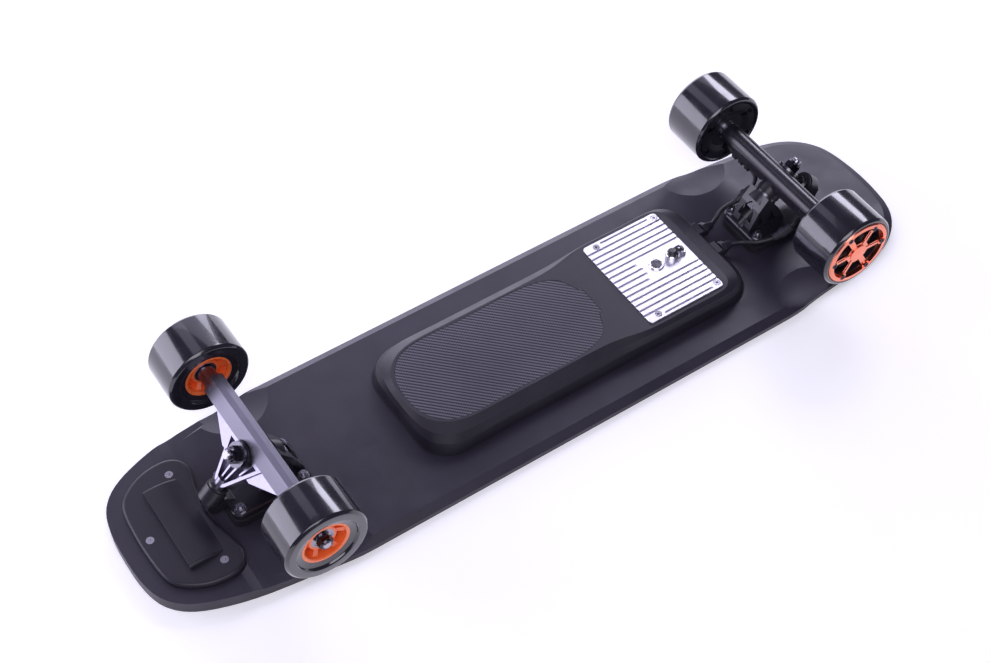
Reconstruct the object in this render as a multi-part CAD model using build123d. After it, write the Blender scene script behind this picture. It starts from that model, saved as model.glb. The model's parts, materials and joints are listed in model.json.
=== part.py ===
from build123d import *
import math
import os

os.makedirs("parts", exist_ok=True)

# Electric skateboard, standing upside down on its grip face with the wheels up.
# +X is forward (the end with the carrying handle), +Y is the board's side,
# +Z goes from the grip face, which is Z = 0, towards the wheels. Millimetres.

# ---------------------------------------------------------------- dimensions
BOARD_LEN = 850.0          # deck length
DECK_HALF = 106.5          # half width at the straight sides
TAPE_T = 0.8               # grip tape thickness
DECK_TOP = 9.9             # underside of the deck (upwards here)
EDGE_Z = 5.3               # top of the vertical edge, where the bevel starts
NOSE_TOP = 13.3            # thicker nose
X_FRONT, X_REAR = 287.3, -298.0   # axle stations
AXLE_F, AXLE_R = 71.6, 68.7       # axle heights above the deck's underside
RISER_T = 9.0
PLATE_TOP = 16.0           # top of a truck baseplate above the deck
BOLT_X, BOLT_Y = 31.75, 20.65     # truck bolt pattern 63.5 x 41.3
WHEEL_R = 40.0
FW_IN, FW_OUT = 81.7, 128.1       # front wheel, inner and outer faces
RW_IN, RW_OUT = 73.6, 124.7       # rear hub wheel faces
KING_DEG = 38.0            # kingpin angle above the deck
KING_TIP = (28.6, 74.2)    # kingpin tip, outboard and up from the axle station
STEER_DEG = 45.0           # steering axis, falling outboard
CUP_TOP = (40.5, 35.5)     # centre of the pivot cup's mouth
ENC_X0, ENC_X1 = -230.2, 145.8    # enclosure base
ENC_HALF = 68.0
SINK = (-194.7, -105.8, 57.3, 34.5)   # heat sink plate: x0, x1, half width, top
BUTTON_X, SOCKET_X = -154.7, -173.6


# ---------------------------------------------------------------- helpers
def rod(p, q, r, r2=None):
    p, q = Vector(*p), Vector(*q)
    d = q - p
    pl = Plane(origin=p, z_dir=d.normalized())
    if r2 is None:
        return pl * Cylinder(r, d.length, align=(Align.CENTER, Align.CENTER, Align.MIN))
    return pl * Cone(r, r2, d.length, align=(Align.CENTER, Align.CENTER, Align.MIN))


def ring(p, q, ro, ri):
    p, q = Vector(*p), Vector(*q)
    d = (q - p).normalized()
    return rod(tuple(p), tuple(q), ro) - rod(tuple(p - d), tuple(q + d), ri)


def block(x0, x1, y0, y1, z0, z1):
    return Pos((x0 + x1) / 2, (y0 + y1) / 2, (z0 + z1) / 2) * Box(x1 - x0, y1 - y0, z1 - z0)


def prism_y(points, y0, y1):
    # polygon given as (x, z), extruded along Y
    face = make_face(Polyline(*[(x, 0, z) for x, z in points], close=True))
    solid = extrude(face, amount=(y1 - y0), dir=(0, 1, 0))
    return Pos(0, y0, 0) * solid


def rrect(x0, x1, half, r, z):
    return Pos((x0 + x1) / 2, 0, z) * RectangleRounded(x1 - x0, 2 * half, r)


def turned(points, x, z, y0, sgn):
    # profile (r, t) turned about the wheel's axle, t measured outwards from y0
    pts = [(r, 0, t) for r, t in points]
    face = make_face(Polyline(*pts, close=True))
    s = revolve(face, Axis.Z, 360)
    # local Z becomes the outward direction along Y
    return Plane(origin=(x, sgn * y0, z), z_dir=(0, sgn, 0), x_dir=(1, 0, 0)) * s


def wheel_plane(x, z, y0, sgn):
    return Plane(origin=(x, sgn * y0, z), z_dir=(0, sgn, 0), x_dir=(1, 0, 0))


def closed_half(points, start_tangent, end_tangent):
    # symmetric closed outline from half-points running from (x0, 0) to (x1, 0)
    upper = Spline(*points, tangents=[start_tangent, end_tangent])
    return make_face(upper + mirror(upper, Plane.XZ))


def save(name, *shapes):
    solids = []
    for s in shapes:
        solids += list(s.solids())
    whole = solids[0] if len(solids) == 1 else Compound(children=solids)
    export_step(whole, f"parts/{name}.step")
    print(name, len(solids), round(sum(s.volume for s in solids)))


def front(shape):
    return Pos(X_FRONT, 0, DECK_TOP) * shape


def rear(shape):
    return Pos(X_REAR, 0, DECK_TOP) * Rot(0, 0, 180) * shape


# ---------------------------------------------------------------- deck
NOSE = [(235, DECK_HALF), (288, 100.8), (338, 93.6), (377, 83.0), (403.5, 69.3),
        (417.3, 52.5), (423.5, 30), (425, 0)]
TAIL = [(-425, 0), (-423, 30), (-418, 52), (-408, 68.5), (-392, 82), (-370, 91),
        (-343, 95.6), (-307, 99), (-272, 103), (-225, DECK_HALF)]
tail_curve = Spline(*TAIL, tangents=[(0, 1), (1, 0)])
side_line = Line(TAIL[-1], NOSE[0])
nose_curve = Spline(*NOSE, tangents=[(1, 0), (0, -1)])
half_outline = Curve() + [tail_curve, side_line, nose_curve]
outline = make_face(half_outline + mirror(half_outline, Plane.XZ))

# the carrying slot, long across the board, right through the nose
SLOT_X, SLOT_L, SLOT_W = 366.0, 84.0, 25.0
slot_sk = Pos(SLOT_X, 0, 0) * RectangleRounded(SLOT_W, SLOT_L, 12.0)

lower = Pos(0, 0, TAPE_T) * extrude(outline, EDGE_Z - TAPE_T)
upper = extrude(outline, DECK_TOP - EDGE_Z, taper=62.0)
if upper.bounding_box().max.Z < 1:
    upper = mirror(upper, Plane.XY)
upper = Pos(0, 0, EDGE_Z) * upper
nose_prof = [(236, TAPE_T), (236, EDGE_Z), (325, DECK_TOP), (332, DECK_TOP), (338, 10.5),
             (347, 12.7), (353, NOSE_TOP), (440, NOSE_TOP), (440, TAPE_T)]
nose_block = (Pos(0, 0, TAPE_T) * extrude(outline, NOSE_TOP - TAPE_T)) & prism_y(nose_prof, -120, 120)
deck = lower + upper + nose_block
# shallow wheel wells inboard of each wheel
WELL_R, WELL_D = 38.2, 5.0
WELL_S = (WELL_R ** 2 + WELL_D ** 2) / (2 * WELL_D)
for wx in (268.4, -277.3):
    for s in (1, -1):
        deck -= Pos(wx, s * 104, DECK_TOP - WELL_D + WELL_S) * Sphere(WELL_S)
deck -= Pos(0, 0, -1) * extrude(slot_sk, 30)
bolt_xy = [(X_FRONT + a * BOLT_X, b * BOLT_Y) for a in (1, -1) for b in (1, -1)]
bolt_xy += [(X_REAR + a * BOLT_X, b * BOLT_Y) for a in (1, -1) for b in (1, -1)]
tape = extrude(outline, TAPE_T) - Pos(0, 0, -1) * extrude(slot_sk, 30)
for bx, by in bolt_xy:
    hole = rod((bx, by, -1), (bx, by, 30), 2.6)
    sink = rod((bx, by, -0.6), (bx, by, 3.4), 6.4, 2.6)
    deck = deck - hole - sink
    tape = tape - rod((bx, by, -1), (bx, by, 3), 5.7)
# pilot holes of the handle cover's screws
HANDLE_SCREWS = [(353.8, 53.3), (353.8, -53.3), (399.1, 0.0)]
for hx, hy in HANDLE_SCREWS:
    deck -= rod((hx, hy, 5.0), (hx, hy, 20), 1.55)
save("deck_board", deck)
save("grip_tape", tape)

# ---------------------------------------------------------------- carrying handle cover
H_TOP = 19.3
H_PTS = [(408.9, 0), (408.2, 20), (406.9, 35), (402.7, 49), (391, 60.6), (377.8, 67.6),
         (360, 71), (347.5, 69.6), (338.6, 63.5), (334.3, 53), (334.9, 44), (337.6, 34),
         (341.2, 17.8), (343.4, 0)]
h_face = closed_half(H_PTS, (0, 1), (0, -1))
plate = Pos(0, 0, DECK_TOP) * extrude(h_face, H_TOP - DECK_TOP)
plate = fillet(plate.faces().sort_by(Axis.Z)[-1].edges(), 3.4)
# the hood over the slot: a crisp lip towards the nose, then a smooth fall towards
# the truck, with rounded ends that run down into the plate
hood_line = Spline((383.2, 0, 23.4), (374.5, 0, 24.3), (364.5, 0, 23.7), (355.5, 0, 21.4), (348.0, 0, 19.0),
                   tangents=[(-0.9, 0, 0.25), (-0.97, 0, -0.24)])
hood_face = make_face(hood_line + Polyline((348.0, 0, 19.0), (348.0, 0, H_TOP - 5), (383.2, 0, H_TOP - 5), (383.2, 0, 23.4)))
hood = Pos(0, -47, 0) * extrude(hood_face, amount=94, dir=(0, 1, 0))
hood_plan = make_face(Polyline((383.2, -47), (383.2, 47), (356, 47), (350.5, 44.6), (348.2, 39.5),
                               (348.2, -39.5), (350.5, -44.6), (356, -47), close=True))
hood = hood & (Pos(0, 0, 5) * extrude(hood_plan, 30))
try:
    ends = hood.edges().filter_by(lambda e: abs(abs(e.center().Y) - 47) < 0.05 and e.center().Z > 21.0)
    hood = fillet(ends, 3.2)
except Exception as err:
    print("hood ends left sharp", err)
pocket_prof = [(380.6, 0), (380.6, 20.6), (373, 21.8), (364, 21.6), (357.5, 19.8),
               (353.4, 17.6), (351.6, 16), (351.6, 0)]
pocket = prism_y(pocket_prof, -43, 43)
cover = (plate + hood) - deck - pocket
cover -= Pos(0, 0, -1) * extrude(slot_sk, 19)
hsc = []
for hx, hy in HANDLE_SCREWS:
    cover = cover - rod((hx, hy, 5), (hx, hy, 30), 1.8) - rod((hx, hy, H_TOP - 2.2), (hx, hy, H_TOP + 0.1), 1.8, 4.1)
    scr = rod((hx, hy, 6.0), (hx, hy, H_TOP - 2.0), 1.5) + rod((hx, hy, H_TOP - 2.15), (hx, hy, H_TOP - 0.25), 1.5, 3.75)
    scr -= Pos(hx, hy, H_TOP - 0.25) * extrude(RegularPolygon(1.25, 6), -1.3)
    hsc.append(scr)
save("handle_cover", cover)
save("handle_screws", *hsc)

# ---------------------------------------------------------------- enclosure
GASKET_T = 1.0
Z0 = DECK_TOP + GASKET_T


TOP_Z = 33.0               # flat top of the shell
# matched points of the half outline at the deck and at the top, front to rear: the
# top is narrow round the battery and flares out to carry the heat sink plate
BASE_PTS = [(145.8, 0), (145.8, 18), (145.8, 35), (143.3, 47.6), (136.1, 58.3), (125.4, 65.5), (112.8, 68),
            (80, 68), (40, 68), (0, 68), (-40, 68), (-65, 68), (-85, 68), (-105, 68), (-130, 68), (-165, 68),
            (-197.2, 68), (-209.8, 65.5), (-220.5, 58.3), (-227.7, 47.6), (-230.2, 35), (-230.2, 18), (-230.2, 0)]
TOP_PTS = [(138.5, 0), (137.4, 15), (132.2, 30.5), (125.5, 39.4), (114.5, 47.0), (101, 51.2), (88, 52.4),
           (64, 52.6), (34, 52.6), (0, 52.6), (-36, 52.7), (-60, 53.6), (-79, 56.4), (-96, 59.8), (-118, 61.2), (-155, 61.2),
           (-188.0, 61.2), (-194.2, 60.0), (-199.2, 56.7), (-202.5, 51.8), (-203.5, 46.0), (-203.5, 20), (-203.5, 0)]


def section(w, z):
    pts = []
    for (bx_, by_), (tx, ty) in zip(BASE_PTS, TOP_PTS):
        x, y = bx_ + (tx - bx_) * w, by_ + (ty - by_) * w
        pts.append((x, y))
    full = pts + [(x, -y) for x, y in reversed(pts[1:-1])]
    return Pos(0, 0, z) * make_face(Spline(*full, periodic=True))


def tub(levels):
    return loft([section(w, z) for z, w in levels], ruled=True)


# how far the wall has come in at each share of its height: a leaning wall that rounds over
WALL = [(0.0, 0.0), (0.5, 0.18), (0.82, 0.46), (1.0, 1.0)]
shell = tub([(Z0 + q * (TOP_Z - Z0), w) for q, w in WALL])
# raised bosses that carry the cable glands on the rear slope
GLAND_Y = [-21.0, 9.5]
GLAND_Z = 20.6
for gy in GLAND_Y:
    bs = block(-227.5, -203, gy - 8.0, gy + 8.0, Z0, 27.4)
    bs = fillet(bs.edges().filter_by(Axis.Y).group_by(Axis.Z)[-1].sort_by(Axis.X)[0], 2.6)
    bs = fillet(bs.edges().filter_by(lambda e: abs(abs(e.center().Y - gy) - 8.0) < 0.01 and e.center().Z > 20), 1.6)
    shell += bs
shell -= loft([rrect(-130, ENC_X1 - 2.6, ENC_HALF - 2.6, 30.4, Z0 - 0.01), rrect(-122, 136.8, 50.0, 25.4, TOP_Z - 3.6)])
shell -= loft([rrect(ENC_X0 + 2.6, -62, ENC_HALF - 2.6, 30.4, Z0 - 0.01), rrect(-200.9, -93.6, 58.6, 12.4, TOP_Z - 2.6)])
# seat and window of the heat sink plate, recess of the carbon panel
sx0, sx1, sh, stop = SINK
shell -= Pos(0, 0, 31.0) * extrude(Pos((sx0 + sx1) / 2, 0, 0) * RectangleRounded(sx1 - sx0 + 0.3, 2 * sh + 0.3, 4.1), 6)
shell -= Pos(0, 0, 20) * extrude(Pos((sx0 + sx1) / 2, 0, 0) * RectangleRounded(sx1 - sx0 - 9, 2 * sh - 9, 4), 20)
C_PTS = [(135.2, 0), (133.6, 16), (127.5, 31), (116, 42.8), (96, 49.2), (60, 49.5), (20, 49.5),
         (-30, 49.4), (-53, 44.4), (-66, 33.4), (-74, 17), (-76.6, 0)]


def panel_face(grow):
    cx, cy = 29.0, 0.0
    pts = []
    for x, y in C_PTS:
        kx = 1 + grow / 106.0
        ky = 1 + grow / 49.5
        pts.append((cx + (x - cx) * kx, y * ky))
    return closed_half(pts, (0, 1), (0, -1))


shell -= Pos(0, 0, TOP_Z - 1.5) * extrude(panel_face(0.35), 4)
gasket = extrude(rrect(ENC_X0 - 0.6, ENC_X1 + 0.6, ENC_HALF + 0.6, 33.5, DECK_TOP), GASKET_T)
gasket -= extrude(rrect(ENC_X0 + 4, ENC_X1 - 4, ENC_HALF - 4, 29, DECK_TOP - 1), 4)
for gy in GLAND_Y:
    shell -= rod((-250, gy, GLAND_Z), (-215, gy, GLAND_Z), 5.0)
    shell -= rod((-250, gy, GLAND_Z), (-227.5, gy, GLAND_Z), 7.7)
PLATE_SCREWS = [(-118.7, 51.2), (-118.7, -51.2), (-190.0, 51.2), (-190.0, -51.2)]
for px, py in PLATE_SCREWS:
    shell += rod((px, py, 24.5), (px, py, 31.0), 4.6)
    shell -= rod((px, py, 26.0), (px, py, 33.0), 1.55)
panel = Pos(0, 0, TOP_Z - 1.5) * extrude(panel_face(0.0), 1.3)
shell -= panel
save("enclosure_shell", shell)
save("enclosure_gasket", gasket)
save("carbon_panel", panel)

# battery: two rows of cells in a wrapped pack, controller board with its parts
pack = block(-62, 122, -46, 46, 12.6, 27.6)
pack = fillet(pack.edges(), 3.0)
pack += block(30, 34, -47, 47, 13.6, 26.8) + block(-34, -30, -47, 47, 13.6, 26.8)
save("battery_pack", pack)
board_pcb = block(-196, -104, -38, 38, 13.2, 14.8)
comps = [block(-190, -172, -34, -16, 14.8, 21), block(-190, -172, -8, 10, 14.8, 21),
         block(-166, -140, -34, -24, 14.8, 19), block(-132, -112, -34, -6, 14.8, 18)]
for cxx, cyy in ((-128, 8), (-128, 22), (-114, 8), (-114, 22)):
    comps.append(rod((cxx, cyy, 14.8), (cxx, cyy, 25.6), 5.4))
for comp in comps:
    board_pcb += comp
save("controller_board", board_pcb)

# ---------------------------------------------------------------- heat sink plate
sink_plate = Pos(0, 0, 31.0) * extrude(
    Pos((sx0 + sx1) / 2, 0, 0) * RectangleRounded(sx1 - sx0, 2 * sh, 4), stop - 31.0)
sink_plate = chamfer(sink_plate.faces().sort_by(Axis.Z)[-1].edges(), 0.5)
GROOVE_P, GROOVE_W, GROOVE_D = 7.1, 2.5, 1.6
for i in range(16):
    gy = (i - 7.5) * GROOVE_P
    x_in = sx0 + 1.0 if abs(gy) > 16 else -139.0
    x_a, x_b = sx0 - 1, sx1 + 1
    if abs(gy) < 16:
        x_a = -141.0 + 3.0 * (abs(gy) > 8)
    if abs(abs(gy) - 51.2) < 4.5:
        # short grooves between the corner screws
        x_a, x_b = sx0 + 11.5, sx1 - 19.5
    sink_plate -= block(x_a, x_b, gy - GROOVE_W / 2, gy + GROOVE_W / 2, stop - GROOVE_D, stop + 1)
psc = []
for px, py in PLATE_SCREWS:
    sink_plate = sink_plate - rod((px, py, 30), (px, py, 36), 1.8) - rod((px, py, stop - 1.7), (px, py, stop + 1), 3.6)
    scr = rod((px, py, 27.0), (px, py, stop - 1.65), 1.5) + rod((px, py, stop - 1.65), (px, py, stop + 0.15), 3.3)
    scr = chamfer(scr.edges().sort_by(Axis.Z)[-1], 0.4)
    scr -= Pos(px, py, stop + 0.15) * extrude(RegularPolygon(1.6, 6), -1.2)
    psc.append(scr)
sink_plate -= rod((BUTTON_X, 0, 30), (BUTTON_X, 0, 36), 6.25)
sink_plate -= rod((SOCKET_X, 0, 30), (SOCKET_X, 0, 36), 5.2)
save("heat_sink_plate", sink_plate)
save("plate_screws", *psc)

# power button: a metal bezel with a sprung cap that travels 1.2 mm
bezel = ring((BUTTON_X, 0, stop), (BUTTON_X, 0, stop + 1.3), 8.0, 5.8)
bezel = chamfer(bezel.edges().group_by(Axis.Z)[-1].sort_by(SortBy.RADIUS)[-1], 0.7)
bezel += ring((BUTTON_X, 0, 23.5), (BUTTON_X, 0, stop + 0.1), 6.15, 5.2)
bezel += rod((BUTTON_X, 0, 21.5), (BUTTON_X, 0, 23.5), 6.15)
save("power_bezel", bezel)
button = rod((BUTTON_X, 0, 26.5), (BUTTON_X, 0, stop + 1.2), 5.13)
button = fillet(button.edges().group_by(Axis.Z)[-1], 0.6)
button -= ring((BUTTON_X, 0, stop + 0.85), (BUTTON_X, 0, stop + 2), 3.5, 2.7)
save("power_button", button)

# charge socket: a knurled metal collar, closed by a domed cap on a looped strap
SOCK_TOP = stop + 5.4
socket = ring((SOCKET_X, 0, stop), (SOCKET_X, 0, SOCK_TOP), 6.3, 3.6)
socket = chamfer(socket.edges().group_by(Axis.Z)[-1].sort_by(SortBy.RADIUS)[-1], 0.7)
socket += ring((SOCKET_X, 0, 24.0), (SOCKET_X, 0, stop + 0.1), 5.1, 3.6)
socket += rod((SOCKET_X, 0, 22.5), (SOCKET_X, 0, 25.5), 5.1)
socket += rod((SOCKET_X, 0, 25.0), (SOCKET_X, 0, stop + 0.6), 0.9)
for gz in (1.4, 2.5, 3.6):
    socket -= ring((SOCKET_X, 0, stop + gz), (SOCKET_X, 0, stop + gz + 0.45), 7, 5.95)
save("charge_socket", socket)
cap = rod((SOCKET_X, 0, SOCK_TOP + 0.3), (SOCKET_X, 0, SOCK_TOP + 3.9), 4.9)
cap = fillet(cap.edges().group_by(Axis.Z)[-1], 2.2)
cap += rod((SOCKET_X, 0, SOCK_TOP - 1.0), (SOCKET_X, 0, SOCK_TOP + 0.5), 3.3)
# the strap: two arms from the cap outwards round a keyhole loop, down to an eye
HINGE = (SOCKET_X - 11.5, 0, stop + 1.6)
strap_outer = [(SOCKET_X - 2.5, SOCK_TOP + 1.4), (SOCKET_X - 2.5, SOCK_TOP + 3.0), (SOCKET_X - 9.5, SOCK_TOP + 3.6),
               (SOCKET_X - 13.2, SOCK_TOP + 1.3), (SOCKET_X - 13.6, HINGE[2] + 1.3), (SOCKET_X - 12.0, HINGE[2] + 1.3),
               (SOCKET_X - 11.8, SOCK_TOP + 0.5), (SOCKET_X - 9.0, SOCK_TOP + 1.9)]
strap = prism_y(strap_outer, -3.0, 3.0)
strap -= rod((SOCKET_X - 8.4, 0, SOCK_TOP), (SOCKET_X - 8.4, 0, SOCK_TOP + 6), 1.7)
strap -= block(SOCKET_X - 20, SOCKET_X - 11.0, 1.9, 4, stop, SOCK_TOP + 5) + block(SOCKET_X - 20, SOCKET_X - 11.0, -4, -1.9, stop, SOCK_TOP + 5)
cap += strap
PIN = (HINGE[0] - 1.2, HINGE[2] + 0.9)
cap += rod((PIN[0], -1.9, PIN[1]), (PIN[0], 1.9, PIN[1]), 1.2)
cap -= rod((PIN[0], -3, PIN[1]), (PIN[0], 3, PIN[1]), 0.62)
save("charge_cap", cap)
eye = block(PIN[0] - 1.6, PIN[0] + 1.6, -4.3, -2.2, stop, PIN[1] + 1.2) + block(PIN[0] - 1.6, PIN[0] + 1.6, 2.2, 4.3, stop, PIN[1] + 1.2)
eye += rod((PIN[0], -3.0, PIN[1]), (PIN[0], 3.0, PIN[1]), 0.57)
save("cap_eye", eye)
print("cap pin", PIN)

# ---------------------------------------------------------------- trucks (local frame: u outboard, z up from the deck)
kn = (math.cos(math.radians(KING_DEG)), 0, math.sin(math.radians(KING_DEG)))
sd = (math.cos(math.radians(STEER_DEG)), 0, -math.sin(math.radians(STEER_DEG)))


def K(k):
    return (KING_TIP[0] - k * kn[0], 0, KING_TIP[1] - k * kn[2])


def S(t):
    return (CUP_TOP[0] + t * sd[0], 0, CUP_TOP[1] + t * sd[2])


def king_plane(k):
    return Plane(origin=K(k), z_dir=kn, x_dir=(0, 1, 0))


def make_riser():
    r = extrude(RectangleRounded(82, 56, 9), RISER_T)
    for a in (1, -1):
        for b in (1, -1):
            r -= rod((a * BOLT_X, b * BOLT_Y, -1), (a * BOLT_X, b * BOLT_Y, 20), 2.8)
    return r


def make_baseplate():
    b = Pos(0, 0, RISER_T) * extrude(RectangleRounded(79, 53.5, 8), PLATE_TOP - RISER_T)
    b = chamfer(b.faces().sort_by(Axis.Z)[-1].edges(), 1.2)
    # kingpin tower: a wedge that carries the lower bushing square to the kingpin
    px, pz = -kn[2], kn[0]
    c = K(48)
    a0 = (c[0] - px * 12.5, c[2] - pz * 12.5)
    b0 = (c[0] + px * 12.5, c[2] + pz * 12.5)
    tower = prism_y([a0, (8.5, 15.0), (-37.5, 15.0), (-36.5, 21), (-27.5, 41), b0], -13.5, 13.5)
    tower += rod(K(58), K(48), 13.5)
    # triangular lightening pockets in both flanks
    for s in (1, -1):
        tri = [(-3.0, 19.5), (-16, 19.5), (-10.5, 35)]
        tri2 = [(-19.5, 19.5), (-32, 19.5), (-24, 37)]
        y0, y1 = (9.5, 16) if s > 0 else (-16, -9.5)
        tower = tower - prism_y(tri, y0, y1) - prism_y(tri2, y0, y1)
    b += tower
    # pivot boss at the outboard end
    b += rod(S(2.0), S(16.5), 10.6)
    b += prism_y([(27, 12), (31, 18), (38, 23.5), (47, 27), (55.5, 26.0), (57.5, 21), (53, 10.5), (38, 9.0)], -8.5, 8.5)
    b = b - rod(S(-1), S(12.6), 8.2) - rod(S(11), S(14.5), 5.2)
    b = b - rod(K(44), K(90), 4.85) - rod(K(60.2), K(78), 9.6)
    for a in (1, -1):
        for d in (1, -1):
            b -= rod((a * BOLT_X, d * BOLT_Y, -1), (a * BOLT_X, d * BOLT_Y, 40), 2.7)
            b -= rod((a * BOLT_X, d * BOLT_Y, PLATE_TOP), (a * BOLT_X, d * BOLT_Y, 40), 6.6)
    return b


def make_pivot_cup():
    c = ring(S(0.5), S(12.5), 8.15, 5.56) + ring(S(-0.9), S(1.95), 9.5, 5.56)
    return c


def make_kingpin():
    kp = rod(K(61), K(0), 4.75)
    kp = chamfer(kp.edges().sort_by(Axis.Z)[-1], 0.9)
    kp += king_plane(66.5) * extrude(RegularPolygon(8.2, 6), 6.0)
    return kp


def make_kingpin_nut():
    n = king_plane(12.0) * extrude(RegularPolygon(8.3, 6), 6.2)
    n += rod(K(6.0), K(3.6), 6.9, 6.2)
    n -= rod(K(13), K(0), 4.8)
    return n


def make_washers():
    up = ring(K(14.4), K(12.05), 11.8, 4.85) - rod(K(14.5), K(13.4), 10.9)
    dn = ring(K(47.95), K(45.6), 12.4, 4.85) - rod(K(46.6), K(45.5), 11.4)
    return up, dn


def make_bushings():
    top = ring(K(26.0), K(13.45), 10.8, 4.9)
    top += ring(K(24.0), K(15.0), 12.3, 4.9)
    bot = ring(K(46.55), K(34.0), 11.3, 4.9)
    bot += ring(K(45.0), K(35.6), 12.6, 4.9)
    return top, bot


E2 = (0.777, 0, -0.629)
N2 = (0.629, 0, 0.777)
O2 = (8.7, 0, 66.0)


def yoke_plane(n):
    return Plane(origin=(O2[0] + n * N2[0], 0, O2[2] + n * N2[2]), z_dir=N2, x_dir=E2)


def make_yoke():
    outer = make_face(Polyline((-9, -30.5), (0, -28.2), (38.0, -8.2), (41.0, -5.6), (41.0, 5.6), (38.0, 8.2), (0, 28.2), (-9, 30.5), close=True))
    y = yoke_plane(-13.5) * extrude(outer, 13.5)
    gus = make_face(Polyline((-3, -56), (2, -54.5), (17.2, -24.6), (17.2, 24.6), (2, 54.5), (-3, 56), close=True))
    y += yoke_plane(-10.5) * extrude(gus, 9.0)
    return y


def yoke_pockets():
    inner = make_face(Polyline((4, -22.6), (36.6, -5.6), (38.2, -3.8), (38.2, 3.8), (36.6, 5.6), (4, 22.6), close=True))
    p = yoke_plane(-7.5) * extrude(inner, 20)
    for s in (1, -1):
        rib = make_face(Polyline((12, s * 3.0), (37, s * 1.6), (37, s * 3.2), (12, s * 5.4), close=True))
        p -= yoke_plane(-9) * extrude(rib, 7.6)
        rib2 = make_face(Polyline((4, s * 14.2), (20.5, s * 10.3), (20.5, s * 12.0), (4, s * 16.2), close=True))
        p -= yoke_plane(-9) * extrude(rib2, 7.6)
    return p


def make_hanger(bar):
    h = bar + make_yoke()
    # boss around the kingpin between the two bushings
    h += rod(K(34.0), K(24.5), 15.6)
    h -= yoke_pockets() - rod(K(36), K(26.0), 15.6)
    # bushing seats and kingpin hole
    h -= rod(K(26.0), K(-30), 13.2)
    h -= rod(K(34.0), K(75), 14.6)
    h -= rod(K(60), K(10), 9.4)
    # pivot pin on the steering axis
    h += rod(S(-9.0), S(10.5), 5.5)
    return h


bar_pts = [(2.0, 83.6), (-3.6, 83.6), (-9.8, 79.0), (-11.2, 66.5), (-6.5, 60.0), (4.5, 60.0), (10.2, 68.2)]
bar_f = prism_y(bar_pts, -76.5, 76.5)
bar_f += rod((0, -90.5, AXLE_F), (0, -70, AXLE_F), 8.2) + rod((0, 70, AXLE_F), (0, 90.5, AXLE_F), 8.2)
hanger_f = make_hanger(bar_f)
for s in (1, -1):
    hanger_f -= rod((0, s * 44, AXLE_F), (0, s * 100, AXLE_F), 4.02)
bar_r = rod((0, -58, AXLE_R), (0, 58, AXLE_R), 10.4)
bar_r += rod((0, -72.6, AXLE_R), (0, -56, AXLE_R), 10.4) + rod((0, 56, AXLE_R), (0, 72.6, AXLE_R), 10.4)
bar_r += prism_y([(-9.0, 58.2), (6.5, 57.0), (9.4, 64), (9.0, 72), (-6.0, 74), (-9.8, 66)], -56, 56)
hanger_r = make_hanger(bar_r)
for s in (1, -1):
    hanger_r -= rod((0, s * 40, AXLE_R), (0, s * 100, AXLE_R), 6.03)

save("front_riser", front(make_riser()))
save("rear_riser", rear(make_riser()))
base = make_baseplate()
save("front_baseplate", front(base))
save("rear_baseplate", rear(base))
save("front_pivot_cup", front(make_pivot_cup()))
save("rear_pivot_cup", rear(make_pivot_cup()))
kp = make_kingpin()
save("kingpins", front(kp), rear(kp))
kn_nut = make_kingpin_nut()
save("kingpin_nuts", front(kn_nut), rear(kn_nut))
w1, w2 = make_washers()
save("cup_washers", front(w1), front(w2), rear(w1), rear(w2))
b1, b2 = make_bushings()
save("front_bushings", front(b1), front(b2))
save("rear_bushings", rear(b1), rear(b2))
save("front_hanger", front(hanger_f))

# mounting bolts with countersunk heads at the grip face, and their lock nuts
bolts, nuts = [], []
for bx, by in bolt_xy:
    bo = rod((bx, by, 0.4), (bx, by, DECK_TOP + 24.0), 2.4) + rod((bx, by, 0.4), (bx, by, 3.1), 4.9, 2.4)
    bo -= Pos(bx, by, 0.4) * extrude(RegularPolygon(1.8, 6), 1.6)
    bolts.append(bo)
    nz = DECK_TOP + PLATE_TOP
    nu = Pos(bx, by, nz + 1.0) * extrude(RegularPolygon(5.1, 6), 3.6) + rod((bx, by, nz), (bx, by, nz + 1.0), 5.6)
    nu += rod((bx, by, nz + 4.5), (bx, by, nz + 6.0), 4.3, 3.8)
    nu -= rod((bx, by, nz - 1), (bx, by, nz + 9), 2.45)
    nuts.append(nu)
save("truck_bolts", *bolts)
save("truck_nuts", *nuts)

# ---------------------------------------------------------------- front axle, wheels
ZF = DECK_TOP + AXLE_F
ZR = DECK_TOP + AXLE_R
axles, ax_nuts, washers, spacers = [], [], [], []
for s in (1, -1):
    a = rod((X_FRONT, s * 46, ZF), (X_FRONT, s * 127.2, ZF), 3.96)
    a = chamfer(a.edges().sort_by(Axis.Y)[-1 if s > 0 else 0], 0.7)
    axles.append(a)
    pl = wheel_plane(X_FRONT, ZF, FW_IN + 38.0, s)
    n = pl * extrude(RegularPolygon(7.3, 6), 5.4)
    n += pl * (Pos(0, 0, 5.3) * Cone(6.1, 5.2, 1.4, align=(Align.CENTER, Align.CENTER, Align.MIN)))
    n -= rod((X_FRONT, s * 100, ZF), (X_FRONT, s * 140, ZF), 4.0)
    ax_nuts.append(n)
    for y0, y1 in ((90.6, 91.6), (FW_IN + 36.9, FW_IN + 37.9)):
        washers.append(ring((X_FRONT, s * y0, ZF), (X_FRONT, s * y1, ZF), 5.8, 4.0))
    spacers.append(ring((X_FRONT, s * (FW_IN + 17.2), ZF), (X_FRONT, s * (FW_IN + 29.6), ZF), 5.2, 4.0))
save("front_axles", *axles)
save("front_axle_nuts", *ax_nuts)
save("front_washers", *washers)
save("front_spacers", *spacers)

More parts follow.
